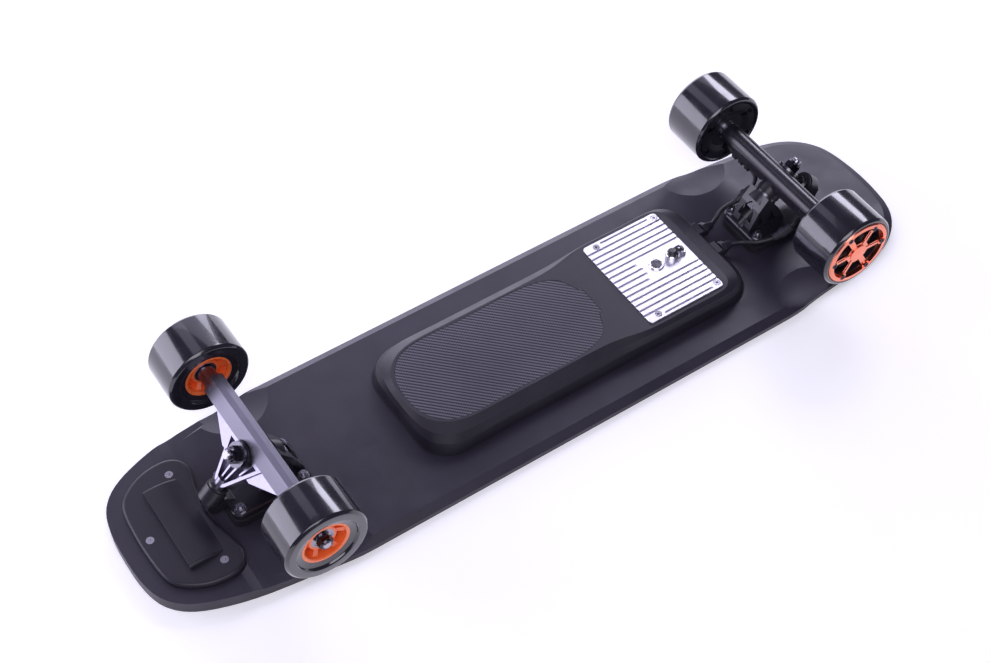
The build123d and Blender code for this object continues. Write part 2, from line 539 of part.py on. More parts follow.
TYRE_F = [(23.0, 3.8), (28.6, 2.6), (29.6, 0.7), (30.8, 0.0), (36.6, 0.0), (38.6, 0.7), (39.6, 2.0), (40.0, 4.2),
          (40.0, 42.2), (39.6, 44.4), (38.6, 45.7), (36.6, 46.4), (30.8, 46.4), (29.6, 45.7), (28.6, 43.8), (23.0, 42.6)]
CORE_RING = [(20.0, 4.6), (21.0, 3.8), (23.0, 3.8), (23.0, 42.6), (21.0, 42.6), (20.0, 41.8)]
CORE_HUB = [(11.02, 10.0), (13.2, 10.0), (13.9, 10.8), (13.9, 36.0), (13.2, 36.9), (11.02, 36.9), (11.02, 29.7), (9.0, 29.7), (9.0, 17.1), (11.02, 17.1)]
for side, s in (("left", 1), ("right", -1)):
    tyre = turned(TYRE_F, X_FRONT, ZF, FW_IN, s)
    save(f"front_{side}_tyre", tyre)
    core = turned(CORE_RING, X_FRONT, ZF, FW_IN, s) + turned(CORE_HUB, X_FRONT, ZF, FW_IN, s)
    web = turned([(13.4, 12.0), (20.6, 8.0), (20.6, 39.0), (13.4, 35.4)], X_FRONT, ZF, FW_IN, s)
    pl = wheel_plane(X_FRONT, ZF, FW_IN, s)
    for i in range(6):
        a0 = math.radians(60 * i + 9)
        a1 = math.radians(60 * i + 51)
        win = make_face(Polyline((13.7 * math.cos(a0), 13.7 * math.sin(a0)), (20.3 * math.cos(a0 - 0.03), 20.3 * math.sin(a0 - 0.03)),
                                 (20.6 * math.cos((a0 + a1) / 2), 20.6 * math.sin((a0 + a1) / 2)),
                                 (20.3 * math.cos(a1 + 0.03), 20.3 * math.sin(a1 + 0.03)), (13.7 * math.cos(a1), 13.7 * math.sin(a1)),
                                 (14.0 * math.cos((a0 + a1) / 2), 14.0 * math.sin((a0 + a1) / 2)), close=True))
        web -= pl * extrude(win, 60)
    core += web
    save(f"front_{side}_core", core)
    brs = []
    for t0 in (10.1, 29.8):
        prof = [(4.0, t0), (6.0, t0), (6.0, t0 + 0.5), (9.2, t0 + 0.5), (9.2, t0), (11.0, t0), (11.0, t0 + 7), (9.2, t0 + 7),
                (9.2, t0 + 6.5), (6.0, t0 + 6.5), (6.0, t0 + 7), (4.0, t0 + 7)]
        brs.append(turned(prof, X_FRONT, ZF, FW_IN, s))
    save(f"front_{side}_bearings", *brs)

# ---------------------------------------------------------------- rear hub motors
# everything from the hanger's end outwards; t is measured from the wheel's inner face
CAN = [(11.03, 3.4), (20.0, 3.4), (26.0, 1.2), (33.5, 1.2), (33.5, 46.6), (28.6, 46.6), (28.6, 8.4), (14.5, 8.4), (14.5, 10.6), (11.03, 10.6)]
SLEEVE = [(33.55, 3.0), (34.6, 1.0), (36.6, 0.0), (38.4, 0.5), (39.5, 1.8), (40.0, 4.0), (40.0, 46.6), (39.6, 48.4), (38.6, 49.6), (37.2, 50.2),
          (35.9, 49.8), (35.5, 49.2), (35.5, 46.6), (33.55, 46.6)]
COVER = [(0.0, 44.8), (9.4, 44.8), (9.4, 46.7), (33.3, 46.7), (35.3, 46.7), (35.3, 49.6), (34.4, 50.9), (29.6, 51.1), (12.0, 49.4), (10.0, 49.8), (9.0, 50.6), (0.0, 51.1)]
STATOR = [(6.06, 12.6), (11.5, 12.6), (11.5, 15.0), (25.5, 15.0), (25.5, 40.0), (11.5, 40.0), (11.5, 42.0), (6.06, 42.0)]
for side, s in (("left", 1), ("right", -1)):
    pl = wheel_plane(X_REAR, ZR, RW_IN, s)
    can = turned(CAN, X_REAR, ZR, RW_IN, s)
    for i in range(6):
        a = math.radians(60 * i + 30)
        hole = Pos(22.8 * math.cos(a), 22.8 * math.sin(a), -1) * Cylinder(3.4, 30, align=(Align.CENTER, Align.CENTER, Align.MIN))
        if i % 2 == 0:
            can -= pl * hole
        can -= pl * (Pos(29.6 * math.cos(a - math.radians(30)), 29.6 * math.sin(a - math.radians(30)), 44.0) * Cylinder(1.65, 10, align=(Align.CENTER, Align.CENTER, Align.MIN)))
    save(f"rear_{side}_motor_can", can)
    save(f"rear_{side}_tyre", turned(SLEEVE, X_REAR, ZR, RW_IN, s))
    stator = turned(STATOR, X_REAR, ZR, RW_IN, s)
    for i in range(12):
        a = 30 * i
        slot = Rot(0, 0, a) * (Pos(21.3, 0, 27.5) * Box(10.5, 3.0, 30))
        tip = Rot(0, 0, a) * (Pos(26, 0, 27.5) * Box(3.4, 1.4, 30))
        stator = stator - pl * slot
    save(f"rear_{side}_stator", stator)
    axle = rod((X_REAR, s * 41, ZR), (X_REAR, s * (RW_IN + 42.5), ZR), 6.0)
    axle += rod((X_REAR, s * (RW_IN - 0.9), ZR), (X_REAR, s * (RW_IN + 2.9), ZR), 9.0)
    save(f"rear_{side}_axle", axle)
    brs = [turned([(6.04, 3.5), (8.0, 3.5), (8.0, 4.0), (9.6, 4.0), (9.6, 3.5), (11.0, 3.5), (11.0, 10.5), (6.04, 10.5)], X_REAR, ZR, RW_IN, s)]
    save(f"rear_{side}_bearing", *brs)
    cov = turned(COVER, X_REAR, ZR, RW_IN, s)
    for i in range(6):
        # a window between each two spokes; the spokes widen to carry the screws
        pts = []
        a_in, a_out = math.degrees(math.asin(2.9 / 12.6)), math.degrees(math.asin(3.1 / 30.4))
        for k in range(7):
            q = math.radians(60 * i + a_in + (60 - 2 * a_in) * k / 6)
            pts.append((12.6 * math.cos(q), 12.6 * math.sin(q)))
        for k in range(9):
            q = math.radians(60 * i + 60 - a_out - (60 - 2 * a_out) * k / 8)
            pts.append((30.4 * math.cos(q), 30.4 * math.sin(q)))
        cov -= pl * (Pos(0, 0, 40) * extrude(make_face(Polyline(*pts, close=True)), 20))
    # the spokes lie a little below the rim, with a fold along each side
    cov -= pl * (Pos(0, 0, 49.2) * (Cylinder(28.0, 5, align=(Align.CENTER, Align.CENTER, Align.MIN))
                                    - Cylinder(9.2, 5, align=(Align.CENTER, Align.CENTER, Align.MIN))))
    for i in range(6):
        a = 60 * i
        rib = Rot(0, 0, a) * (Pos(18.0, 0, 48.4) * Box(17.0, 1.7, 2.6)) + Rot(0, 0, a) * (Pos(12.0, 0, 48.4) * Box(7.0, 3.4, 2.6))
        boss = Rot(0, 0, a) * (Pos(29.4, 0, 46.7) * Cylinder(4.3, 3.6, align=(Align.CENTER, Align.CENTER, Align.MIN)))
        cov += pl * rib
        cov += pl * boss
    scs = []
    for i in range(6):
        a = math.radians(60 * i)
        cx, cy = 29.6 * math.cos(a), 29.6 * math.sin(a)
        cov -= pl * (Pos(cx, cy, 48.4) * Cylinder(2.9, 10, align=(Align.CENTER, Align.CENTER, Align.MIN)))
        cov -= pl * (Pos(cx, cy, 40) * Cylinder(1.6, 20, align=(Align.CENTER, Align.CENTER, Align.MIN)))
        sc = Pos(cx, cy, 45.0) * Cylinder(1.5, 3.5, align=(Align.CENTER, Align.CENTER, Align.MIN))
        sc += Pos(cx, cy, 48.45) * Cylinder(2.75, 2.9, align=(Align.CENTER, Align.CENTER, Align.MIN))
        sc -= Pos(cx, cy, 50.2) * extrude(RegularPolygon(1.5, 6), 3)
        scs.append(pl * sc)
        # round-headed screws of the can's inner flange
        a += math.radians(30)
        sc = Pos(29.9 * math.cos(a), 29.9 * math.sin(a), -0.4) * Cylinder(2.5, 1.6, align=(Align.CENTER, Align.CENTER, Align.MIN))
        sc -= Pos(29.9 * math.cos(a), 29.9 * math.sin(a), -0.5) * extrude(RegularPolygon(1.4, 6), 1.1)
        scs.append(pl * sc)
    save(f"rear_{side}_cover", cov)
    save(f"rear_{side}_screws", *scs)

# ---------------------------------------------------------------- motor leads
LEAD_R = 2.2
FLAT = 54.7                # height of the clipped run under the rear hanger


def lead(points, r=LEAD_R):
    # straight runs joined by tangent arcs
    vs = [Vector(*p) for p in points]
    radii = []
    for i in range(1, len(vs) - 1):
        a, b = vs[i] - vs[i - 1], vs[i + 1] - vs[i]
        turn = math.radians(a.get_angle(b))
        radii.append(0.45 * min(a.length, b.length) / math.tan(turn / 2))
    path = FilletPolyline(*points, radius=radii) if len(radii) else Line(*points)
    d = vs[1] - vs[0]
    solid = sweep(Plane(origin=vs[0], z_dir=d.normalized()) * Circle(r), path=path)
    print("lead", round(path.length, 1), "volume/section", round(solid.volume / (math.pi * r * r * path.length), 4),
          "radii", [round(q, 1) for q in radii])
    return solid


def connector(p, q):
    c = rod(p, q, 4.5)
    v = Vector(*q) - Vector(*p)
    n = v.normalized()
    for t0, t1, rr in ((0.0, 3.0, 3.7), (8.2, 12.2, 5.4), (v.length - 2.6, v.length, 3.7)):
        a = Vector(*p) + n * t0
        b = Vector(*p) + n * t1
        if rr < 4.5:
            c -= ring(tuple(a), tuple(b), 6.5, rr)
        else:
            c += rod(tuple(a), tuple(b), rr)
    for t0 in (4.4, 6.0, 13.6, 15.2, 16.8):
        a = Vector(*p) + n * t0
        b = Vector(*p) + n * (t0 + 0.7)
        c -= ring(tuple(a), tuple(b), 6.5, 4.0)
    return c


CON_A = ((-27.5, 19.6, 30.5), (-10.5, 18.9, 40.5))
CON_B = ((-22.5, -34.6, 22.0), (-6.5, -39.8, 33.0))
GL_U = 57.0                # where a lead leaves its gland
# local frame of the rear truck, which is turned half round, so y here is minus the board's Y
LEAD_A = [(-GL_U - 1.5, 20.5, 10.475), (-51, 23.0, 11.6), (-43, 26.5, 17.0), (-35.5, 24.0, 25.0), (-27.5, 19.6, 30.5)]
LEAD_A2 = [(-10.5, 18.9, 40.5), (-6.5, 18.9, 46.5), (-5.0, 22.4, 53.8), (-5.0, 29.4, FLAT)]
LEAD_B = [(-GL_U - 1.5, -8.625, 10.475), (-51, -13.0, 11.6), (-44.5, -22.5, 16.5), (-34.0, -31.0, 19.3), (-22.5, -34.6, 22.0)]
LEAD_B2 = [(-6.5, -39.8, 33.0), (-2.6, -41.6, 40.0), (-3.2, -44.6, 49.4), (-5.0, -49.2, FLAT)]
HANG_A = [(-5.0, 29.4, FLAT), (-5.0, 61.0, FLAT), (-3.4, 69.0, 61.5)]
HANG_B = [(-5.0, -49.2, FLAT), (-5.0, -61.0, FLAT), (-3.4, -69.0, 61.5)]
board_leads = [lead(LEAD_A), lead(LEAD_A2), lead(LEAD_B), lead(LEAD_B2)]
cons = [connector(*CON_A), connector(*CON_B)]
hang_leads = [lead(HANG_A), lead(HANG_B)]
for q in (HANG_A, HANG_B):
    hanger_r -= lead(q, LEAD_R + 0.08)
    hanger_r -= Plane(origin=q[2], z_dir=(Vector(*q[2]) - Vector(*q[1])).normalized()) * Cylinder(LEAD_R + 0.08, 3)
# the leads are cut square where they leave their glands
board_leads = [b - cons[0] - cons[1] - block(-70, -GL_U, -60, 60, 0, 30) for b in board_leads]
board_leads[1] = board_leads[1] - hang_leads[0]
board_leads[3] = board_leads[3] - hang_leads[1]
clips = []
for cy in (53.0, 43.2, 33.4, -53.9):
    cl = block(-8.6, 3.2, cy - 2.6, cy + 2.6, FLAT - 3.3, 56.95)
    cl = fillet(cl.edges().filter_by(Axis.Y).group_by(Axis.Z)[0], 2.0)
    cl -= rod((-5.0, cy - 5, FLAT), (-5.0, cy + 5, FLAT), LEAD_R)
    cl -= block(-5.0 - LEAD_R, -5.0 + LEAD_R, cy - 5, cy + 5, FLAT, 60)
    cl += rod((0.6, cy, FLAT - 4.6), (0.6, cy, FLAT - 3.3), 1.9)
    clips.append(cl)
glands = []
for gy in GLAND_Y:
    g = rod((-227.5, gy, GLAND_Z), (-229.0, gy, GLAND_Z), 7.3)
    g += Plane(origin=(-229.0, gy, GLAND_Z), z_dir=(-1, 0, 0)) * extrude(RegularPolygon(7.2, 6), 4.2)
    g += rod((-233.2, gy, GLAND_Z), (X_REAR + GL_U, gy, GLAND_Z), 5.6, 3.9)
    for i in range(4):
        xx = -234.2 - 1.6 * i
        g -= ring((xx, gy, GLAND_Z), (xx - 0.6, gy, GLAND_Z), 8, 4.6 - 0.25 * i)
    g += rod((-218.0, gy, GLAND_Z), (-227.6, gy, GLAND_Z), 4.95)
    glands.append(g)
save("cable_glands", *glands)
save("motor_leads", *[rear(q) for q in board_leads])
save("lead_connectors", *[rear(q) for q in cons])
save("hanger_leads", *[rear(q) for q in hang_leads])
save("lead_clips", *[rear(q) for q in clips])
save("rear_hanger", rear(hanger_r))
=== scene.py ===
import bpy
import bmesh
import json
import math
from mathutils import Matrix, Vector

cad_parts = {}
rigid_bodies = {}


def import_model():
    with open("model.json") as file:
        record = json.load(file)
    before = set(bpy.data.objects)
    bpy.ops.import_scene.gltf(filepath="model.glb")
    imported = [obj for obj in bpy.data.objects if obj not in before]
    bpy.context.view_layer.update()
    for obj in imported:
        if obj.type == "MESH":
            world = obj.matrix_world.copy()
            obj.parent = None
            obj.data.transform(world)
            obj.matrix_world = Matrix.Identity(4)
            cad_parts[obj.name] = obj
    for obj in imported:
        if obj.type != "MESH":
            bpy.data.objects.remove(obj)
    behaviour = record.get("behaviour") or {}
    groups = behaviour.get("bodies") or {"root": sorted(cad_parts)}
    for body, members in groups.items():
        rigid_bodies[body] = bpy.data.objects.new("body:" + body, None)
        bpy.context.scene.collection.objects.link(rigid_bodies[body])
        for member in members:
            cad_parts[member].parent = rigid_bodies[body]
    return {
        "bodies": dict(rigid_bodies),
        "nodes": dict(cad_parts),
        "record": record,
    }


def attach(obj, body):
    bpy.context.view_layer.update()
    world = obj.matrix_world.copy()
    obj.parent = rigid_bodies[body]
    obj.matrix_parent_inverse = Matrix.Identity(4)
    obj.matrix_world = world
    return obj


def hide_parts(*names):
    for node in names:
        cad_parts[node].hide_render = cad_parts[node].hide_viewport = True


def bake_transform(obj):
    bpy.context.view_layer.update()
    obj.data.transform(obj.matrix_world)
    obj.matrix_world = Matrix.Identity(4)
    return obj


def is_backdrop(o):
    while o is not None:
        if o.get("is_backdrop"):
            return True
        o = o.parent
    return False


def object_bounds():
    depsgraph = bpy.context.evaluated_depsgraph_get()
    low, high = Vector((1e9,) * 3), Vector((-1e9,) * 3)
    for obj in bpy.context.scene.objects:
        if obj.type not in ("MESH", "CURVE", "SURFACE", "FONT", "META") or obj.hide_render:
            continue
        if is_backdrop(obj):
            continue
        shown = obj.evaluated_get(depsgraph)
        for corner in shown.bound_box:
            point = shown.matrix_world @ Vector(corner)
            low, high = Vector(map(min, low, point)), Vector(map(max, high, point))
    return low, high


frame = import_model()


def numbers(v):
    if hasattr(v, "__len__"):
        return [numbers(x) for x in v]
    return float(v)


CAD_BOX = numbers(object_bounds())
BODIES = frame["bodies"]
NODES = frame["nodes"]
scene = bpy.context.scene

# ------------------------------------------------------------------ camera
cam_data = bpy.data.cameras.new("camera")
cam = bpy.data.objects.new("camera", cam_data)
scene.collection.objects.link(cam)
CAM_POS = Vector((0.58957, 0.83253, 1.30555))
CAM_AIM = Vector((0.00847, -0.04076, 0.0))
cam.location = CAM_POS
cam.rotation_euler = (CAM_AIM - CAM_POS).to_track_quat("-Z", "Y").to_euler()
cam_data.lens = 62.32
cam_data.sensor_width = 36.0
cam_data.sensor_fit = "HORIZONTAL"
cam_data.clip_start = 0.01
cam_data.dof.use_dof = False
scene.camera = cam

# ------------------------------------------------------------------ floor, light
scene.view_settings.view_transform = "Standard"
scene.view_settings.look = "None"
scene.view_settings.exposure = 0.0
scene.view_settings.gamma = 1.0


class Nodes:
    """Small helper for building shader trees."""

    def __init__(self, name):
        self.mat = bpy.data.materials.new(name)
        self.mat.use_nodes = True
        self.t = self.mat.node_tree
        self.t.nodes.clear()
        self.out = self.t.nodes.new("ShaderNodeOutputMaterial")
        self.b = self.t.nodes.new("ShaderNodeBsdfPrincipled")
        self.t.links.new(self.b.outputs[0], self.out.inputs[0])
        self.tex = self.t.nodes.new("ShaderNodeTexCoord")
        self.co = self.tex.outputs["Object"]

    def n(self, kind, **props):
        node = self.t.nodes.new(kind)
        for k, v in props.items():
            setattr(node, k, v)
        return node

    def l(self, a, b):
        self.t.links.new(a, b)

    def base(self, **k):
        names = {"color": "Base Color", "metal": "Metallic", "rough": "Roughness", "spec": "Specular IOR Level",
                 "coat": "Coat Weight", "coat_rough": "Coat Roughness", "sheen": "Sheen Weight",
                 "sheen_rough": "Sheen Roughness", "ior": "IOR", "aniso": "Anisotropic", "sss": "Subsurface Weight"}
        for key, v in k.items():
            s = self.b.inputs[names[key]]
            s.default_value = (*v, 1.0) if key == "color" else v
        return self

    def mapping(self, scale=(1, 1, 1), rot=(0, 0, 0), loc=(0, 0, 0), src=None):
        m = self.n("ShaderNodeMapping")
        m.inputs["Scale"].default_value = scale
        m.inputs["Rotation"].default_value = rot
        m.inputs["Location"].default_value = loc
        self.l(src or self.co, m.inputs["Vector"])
        return m.outputs[0]

    def noise(self, scale, detail=3.0, rough=0.55, src=None, dist=0.0):
        x = self.n("ShaderNodeTexNoise")
        x.inputs["Scale"].default_value = scale
        x.inputs["Detail"].default_value = detail
        x.inputs["Roughness"].default_value = rough
        x.inputs["Distortion"].default_value = dist
        self.l(src or self.co, x.inputs["Vector"])
        return x.outputs["Fac"]

    def voronoi(self, scale, feature="F1", src=None, out="Distance"):
        x = self.n("ShaderNodeTexVoronoi", feature=feature)
        x.inputs["Scale"].default_value = scale
        self.l(src or self.co, x.inputs["Vector"])
        return x.outputs[out]

    def math(self, op, a, b=None, c=None, clamp=False):
        x = self.n("ShaderNodeMath", operation=op, use_clamp=clamp)
        for i, v in enumerate((a, b, c)):
            if v is None:
                continue
            if hasattr(v, "links"):
                self.l(v, x.inputs[i])
            else:
                x.inputs[i].default_value = v
        return x.outputs[0]

    def ramp(self, fac, stops, interp="LINEAR"):
        x = self.n("ShaderNodeValToRGB")
        x.color_ramp.interpolation = interp
        e = x.color_ramp.elements
        while len(e) < len(stops):
            e.new(0.5)
        for i, (p, c) in enumerate(stops):
            e[i].position = p
            e[i].color = (*c, 1.0) if len(c) == 3 else c
        self.l(fac, x.inputs[0])
        return x.outputs[0]

    def remap(self, fac, lo, hi, a=0.0, b=1.0):
        x = self.n("ShaderNodeMapRange")
        for i, v in ((1, a), (2, b), (3, lo), (4, hi)):
            x.inputs[i].default_value = v
        self.l(fac, x.inputs[0])
        return x.outputs[0]

    def mix(self, fac, a, b, mode="MIX"):
        x = self.n("ShaderNodeMix", data_type="RGBA", blend_type=mode)
        ins = [s for s in x.inputs if s.enabled]
        for s, v in zip((x.inputs[0], x.inputs[6], x.inputs[7]), (fac, a, b)):
            if hasattr(v, "links"):
                self.l(v, s)
            elif isinstance(v, (int, float)):
                s.default_value = v
            else:
                s.default_value = (*v, 1.0)
        return x.outputs[2]

    def bump(self, height, strength=0.2, dist=0.0003, prev=None):
        x = self.n("ShaderNodeBump")
        x.inputs["Strength"].default_value = strength
        x.inputs["Distance"].default_value = dist
        self.l(height, x.inputs["Height"])
        if prev is not None:
            self.l(prev, x.inputs["Normal"])
        return x.outputs[0]

    def set(self, socket, v):
        self.l(v, self.b.inputs[socket])
        return self


def edge_mask(m, radius=0.0012, gain=3.0):
    """1 on sharp edges, 0 on flats, from how far a rounded normal leans from the true one."""
    bev = m.n("ShaderNodeBevel", samples=4)
    bev.inputs["Radius"].default_value = radius
    geo = m.n("ShaderNodeNewGeometry")
    dot = m.n("ShaderNodeVectorMath", operation="DOT_PRODUCT")
    m.l(bev.outputs[0], dot.inputs[0])
    m.l(geo.outputs["Normal"], dot.inputs[1])
    inv = m.math("SUBTRACT", 1.0, dot.outputs["Value"])
    return m.math("MULTIPLY", inv, gain, clamp=True)


def bevel_normal(m, radius):
    bev = m.n("ShaderNodeBevel", samples=4)
    bev.inputs["Radius"].default_value = radius
    return bev.outputs[0]


def moulded(name, color, rough=0.42, grain=900.0, bump=0.12, edge=(0.0012, 2.0), lift=0.35, spec=0.5, coat=0.0, bevel=0.0):
    """Satin moulding or paint: fine grain, cloudy tone, and a painted highlight that lightens sharp edges in patches.
    """
    m = Nodes(name)
    m.base(spec=spec, coat=coat, coat_rough=0.12)
    cloud = m.noise(14.0, 4.0, 0.6)
    speck = m.noise(grain, 2.0, 0.7)
    c0 = tuple(v * 0.84 for v in color)
    c1 = tuple(min(1, v * 1.22 + 0.002) for v in color)
    col = m.ramp(cloud, [(0.3, c0), (0.7, c1)])
    fleck = m.remap(speck, 0.86, 1.16, 0.35, 0.7)
    fl = m.n("ShaderNodeCombineColor")
    for i in range(3):
        m.l(fleck, fl.inputs[i])
    col = m.mix(1.0, col, fl.outputs[0], "MULTIPLY")
    # painted highlight: sharp edges lightened in the base colour, patchy by noise, scaled by lift
    if edge:
        e = edge_mask(m, *edge)
        edge_highlight = m.math("MULTIPLY", e, m.remap(m.noise(60.0, 3.0), 0.15, 1.0, 0.35, 0.7), clamp=True)
        col = m.mix(m.math("MULTIPLY", edge_highlight, lift), col, tuple(min(1, v * 2.6 + 0.05) for v in color))
    m.set("Base Color", col)
    r = m.remap(m.noise(35.0, 3.0), rough - 0.05, rough + 0.07, 0.3, 0.7)
    m.set("Roughness", r)
    b = m.bump(speck, bump, 0.0001, bevel_normal(m, bevel) if bevel else None)
    m.set("Normal", b)
    return m.mat


def metal(name, color, rough=0.25, scratch=0.05, grain=400.0, edge=(0.0008, 2.0), coat=0.0, brushed=None, bump=0.06, bevel=0.0, metallic=1.0, cloudy=0.1):
    m = Nodes(name)
    m.base(metal=metallic, coat=coat, coat_rough=0.08)
    src = m.mapping(scale=brushed) if brushed else None
    fine = m.noise(grain, 4.0, 0.65, src=src)
    cloud = m.noise(22.0, 3.0)
    c0 = tuple(v * (1 - cloudy) for v in color)
    c1 = tuple(min(1, v * (1 + cloudy)) for v in color)
    col = m.ramp(cloud, [(0.3, c0), (0.7, c1)])
    # painted highlight: sharp edges lightened in the base colour
    if edge:
        e = edge_mask(m, *edge)
        col = m.mix(m.math("MULTIPLY", e, 0.35), col, tuple(min(1, v * 1.35 + 0.06) for v in color))
    m.set("Base Color", col)
    rr = m.remap(fine, max(0.02, rough - scratch), rough + scratch, 0.3, 0.7)
    m.set("Roughness", rr)
    m.set("Normal", m.bump(fine, bump, 0.00005, bevel_normal(m, bevel) if bevel else None))
    return m.mat


M = {}
M["deck"] = moulded("deck_paint", (0.024, 0.020, 0.035), rough=0.42, grain=1500.0, bump=0.08, edge=(0.0012, 2.4), lift=0.40)
M["black_moulding"] = moulded("black_moulding", (0.013, 0.011, 0.019), rough=0.45, grain=1100.0, bump=0.10, edge=(0.0013, 2.6), lift=0.45)
M["gasket"] = moulded("soft_black", (0.010, 0.009, 0.013), rough=0.58, grain=700.0, bump=0.2, edge=None)
M["cap_black"] = moulded("cap_black", (0.010, 0.009, 0.013), rough=0.22, grain=700.0, bump=0.05, edge=(0.0006, 2.0), lift=0.2, coat=0.4)
M["riser"] = moulded("riser_pad", (0.014, 0.013, 0.018), rough=0.62, grain=500.0, bump=0.3, edge=None)
M["bushing"] = moulded("bushing_urethane", (0.012, 0.011, 0.015), rough=0.34, grain=240.0, bump=0.06, edge=(0.0008, 1.5), lift=0.15)
M["truck_black"] = moulded("truck_black_paint", (0.012, 0.011, 0.017), rough=0.34, grain=300.0, bump=0.08, edge=(0.0009, 2.2), lift=0.2, coat=0.15)
M["dark_tube"] = moulded("hanger_black_paint", (0.016, 0.014, 0.021), rough=0.28, grain=260.0, bump=0.08, edge=(0.001, 2.0), lift=0.2, coat=0.2)
M["battery_wrap"] = moulded("battery_wrap", (0.03, 0.06, 0.18), rough=0.3, grain=90.0, bump=0.2, edge=None)
M["circuit_board"] = moulded("circuit_board", (0.02, 0.10, 0.05), rough=0.35, grain=420.0, bump=0.2, edge=None)
M["motor_black"] = moulded("motor_can_black", (0.013, 0.012, 0.017), rough=0.30, grain=420.0, bump=0.05, edge=(0.0008, 2.0), lift=0.25)
M["motor_stack"] = moulded("motor_stack", (0.016, 0.015, 0.020), rough=0.45, grain=1400.0, bump=0.2, edge=(0.0005, 2.0), lift=0.2)
M["black_screw"] = metal("black_screw", (0.05, 0.05, 0.06), rough=0.32, grain=800.0)
M["black_nut"] = metal("black_nut", (0.060, 0.056, 0.070), rough=0.20, scratch=0.05, grain=800.0, edge=(0.0006, 2.0))
M["button_grey"] = moulded("button_cap", (0.060, 0.057, 0.070), rough=0.22, grain=600.0, bump=0.04, edge=(0.0006, 1.5), lift=0.2, coat=0.3)
M["bright_bezel"] = metal("bright_bezel", (0.80, 0.79, 0.84), rough=0.18, scratch=0.05, grain=900.0, edge=(0.0004, 2.0), cloudy=0.04)
M["satin_washer"] = metal("satin_washer", (0.17, 0.165, 0.19), rough=0.26, scratch=0.05, grain=900.0, edge=(0.0004, 2.0))
M["anodised_silver"] = metal("anodised_silver", (0.74, 0.73, 0.81), rough=0.40, scratch=0.05, grain=2600.0, edge=None, bump=0.08, cloudy=0.03)
M["truck_silver"] = metal("truck_silver", (0.30, 0.29, 0.36), rough=0.34, scratch=0.04, grain=420.0, edge=None, bump=0.02, cloudy=0.04)
M["bolt_steel"] = metal("bolt_steel", (0.40, 0.39, 0.43), rough=0.26, scratch=0.07, grain=900.0)
M["chrome"] = metal("bright_plate", (0.74, 0.73, 0.78), rough=0.14, scratch=0.04, grain=700.0, cloudy=0.03)
M["bearing"] = metal("bearing_steel", (0.30, 0.29, 0.33), rough=0.24, scratch=0.08, grain=900.0)
M["rose_gold"] = metal("rose_gold_anodised", (0.90, 0.27, 0.17), rough=0.24, scratch=0.05, grain=900.0, edge=(0.0006, 1.8), bump=0.05)
M["cable"] = moulded("cable_jacket", (0.010, 0.009, 0.013), rough=0.40, grain=800.0, bump=0.10, edge=None)


def grip_material():
    m = Nodes("grip_sheet").base(spec=0.35)
    grit = m.voronoi(900.0)
    spark = m.voronoi(380.0)
    col = m.ramp(grit, [(0.15, (0.012, 0.012, 0.013)), (0.75, (0.040, 0.040, 0.043))])
    col = m.mix(m.remap(spark, 0.5, 0.0, 0.0, 0.12), col, (0.16, 0.16, 0.17))
    m.set("Base Color", col)
    m.set("Roughness", m.remap(grit, 0.62, 0.92, 0.1, 0.8))
    m.set("Normal", m.bump(grit, 0.7, 0.0004))
    return m.mat


M["grip"] = grip_material()


def weave_material():
    """Two by two twill of 1.2 mm tows, under a clear coat, with painted sheen: warp tows painted lighter than weft,
    each tow lighter along its crown.
    """
    m = Nodes("twill_weave").base(spec=0.35, coat=0.6, coat_rough=0.08, metal=0.0)
    sep = m.n("ShaderNodeSeparateXYZ")
    m.l(m.mapping(scale=(1 / 0.00118, 1 / 0.00118, 1)), sep.inputs[0])
    u, v = sep.outputs[0], sep.outputs[1]
    cu, cv = m.math("FLOOR", u), m.math("FLOOR", v)
    fu, fv = m.math("FRACT", u), m.math("FRACT", v)
    tw = m.math("FLOORED_MODULO", m.math("ADD", cu, cv), 4.0)
    over = m.math("LESS_THAN", tw, 1.5)
    # position inside the two-cell float of each tow, for its rise and fall
    ph_u = m.math("DIVIDE", m.math("FLOORED_MODULO", m.math("ADD", u, cv), 4.0), 4.0)
    ph_v = m.math("DIVIDE", m.math("FLOORED_MODULO", m.math("ADD", v, cu), 4.0), 4.0)
    round_u = m.math("SINE", m.math("MULTIPLY", fu, math.pi))
    round_v = m.math("SINE", m.math("MULTIPLY", fv, math.pi))
    fib_u = m.noise(1.0, 2.0, 0.7, src=m.mapping(scale=(9000, 260, 1)))
    fib_v = m.noise(1.0, 2.0, 0.7, src=m.mapping(scale=(260, 9000, 1)))
    # painted sheen: warp tows painted light and weft tows dark, each with a painted highlight along its crown
    warp_painted_sheen = m.ramp(m.math("MULTIPLY", round_u, m.remap(fib_u, 0.75, 1.2, 0.3, 0.7)), [(0.0, (0.010, 0.009, 0.014)), (1.0, (0.150, 0.140, 0.190))])
    weft_painted_sheen = m.ramp(m.math("MULTIPLY", round_v, m.remap(fib_v, 0.75, 1.2, 0.3, 0.7)), [(0.0, (0.004, 0.004, 0.006)), (1.0, (0.024, 0.022, 0.032))])
    col = m.mix(over, weft_painted_sheen, warp_painted_sheen)
    cloud = m.noise(9.0, 3.0)
    g = m.n("ShaderNodeCombineColor")
    f = m.remap(cloud, 0.8, 1.2, 0.3, 0.7)
    for i in range(3):
        m.l(f, g.inputs[i])
    m.set("Base Color", m.mix(1.0, col, g.outputs[0], "MULTIPLY"))
    h = m.math("ADD", m.math("MULTIPLY", over, m.math("MULTIPLY", round_u, m.math("SINE", m.math("MULTIPLY", ph_v, math.pi)))),
               m.math("MULTIPLY", m.math("SUBTRACT", 1.0, over), m.math("MULTIPLY", round_v, m.math("SINE", m.math("MULTIPLY", ph_u, math.pi)))))
    m.set("Roughness", m.remap(h, 0.50, 0.32, 0.0, 1.0))
    m.set("Normal", m.bump(h, 0.32, 0.0003))
    return m.mat


M["carbon_weave"] = weave_material()


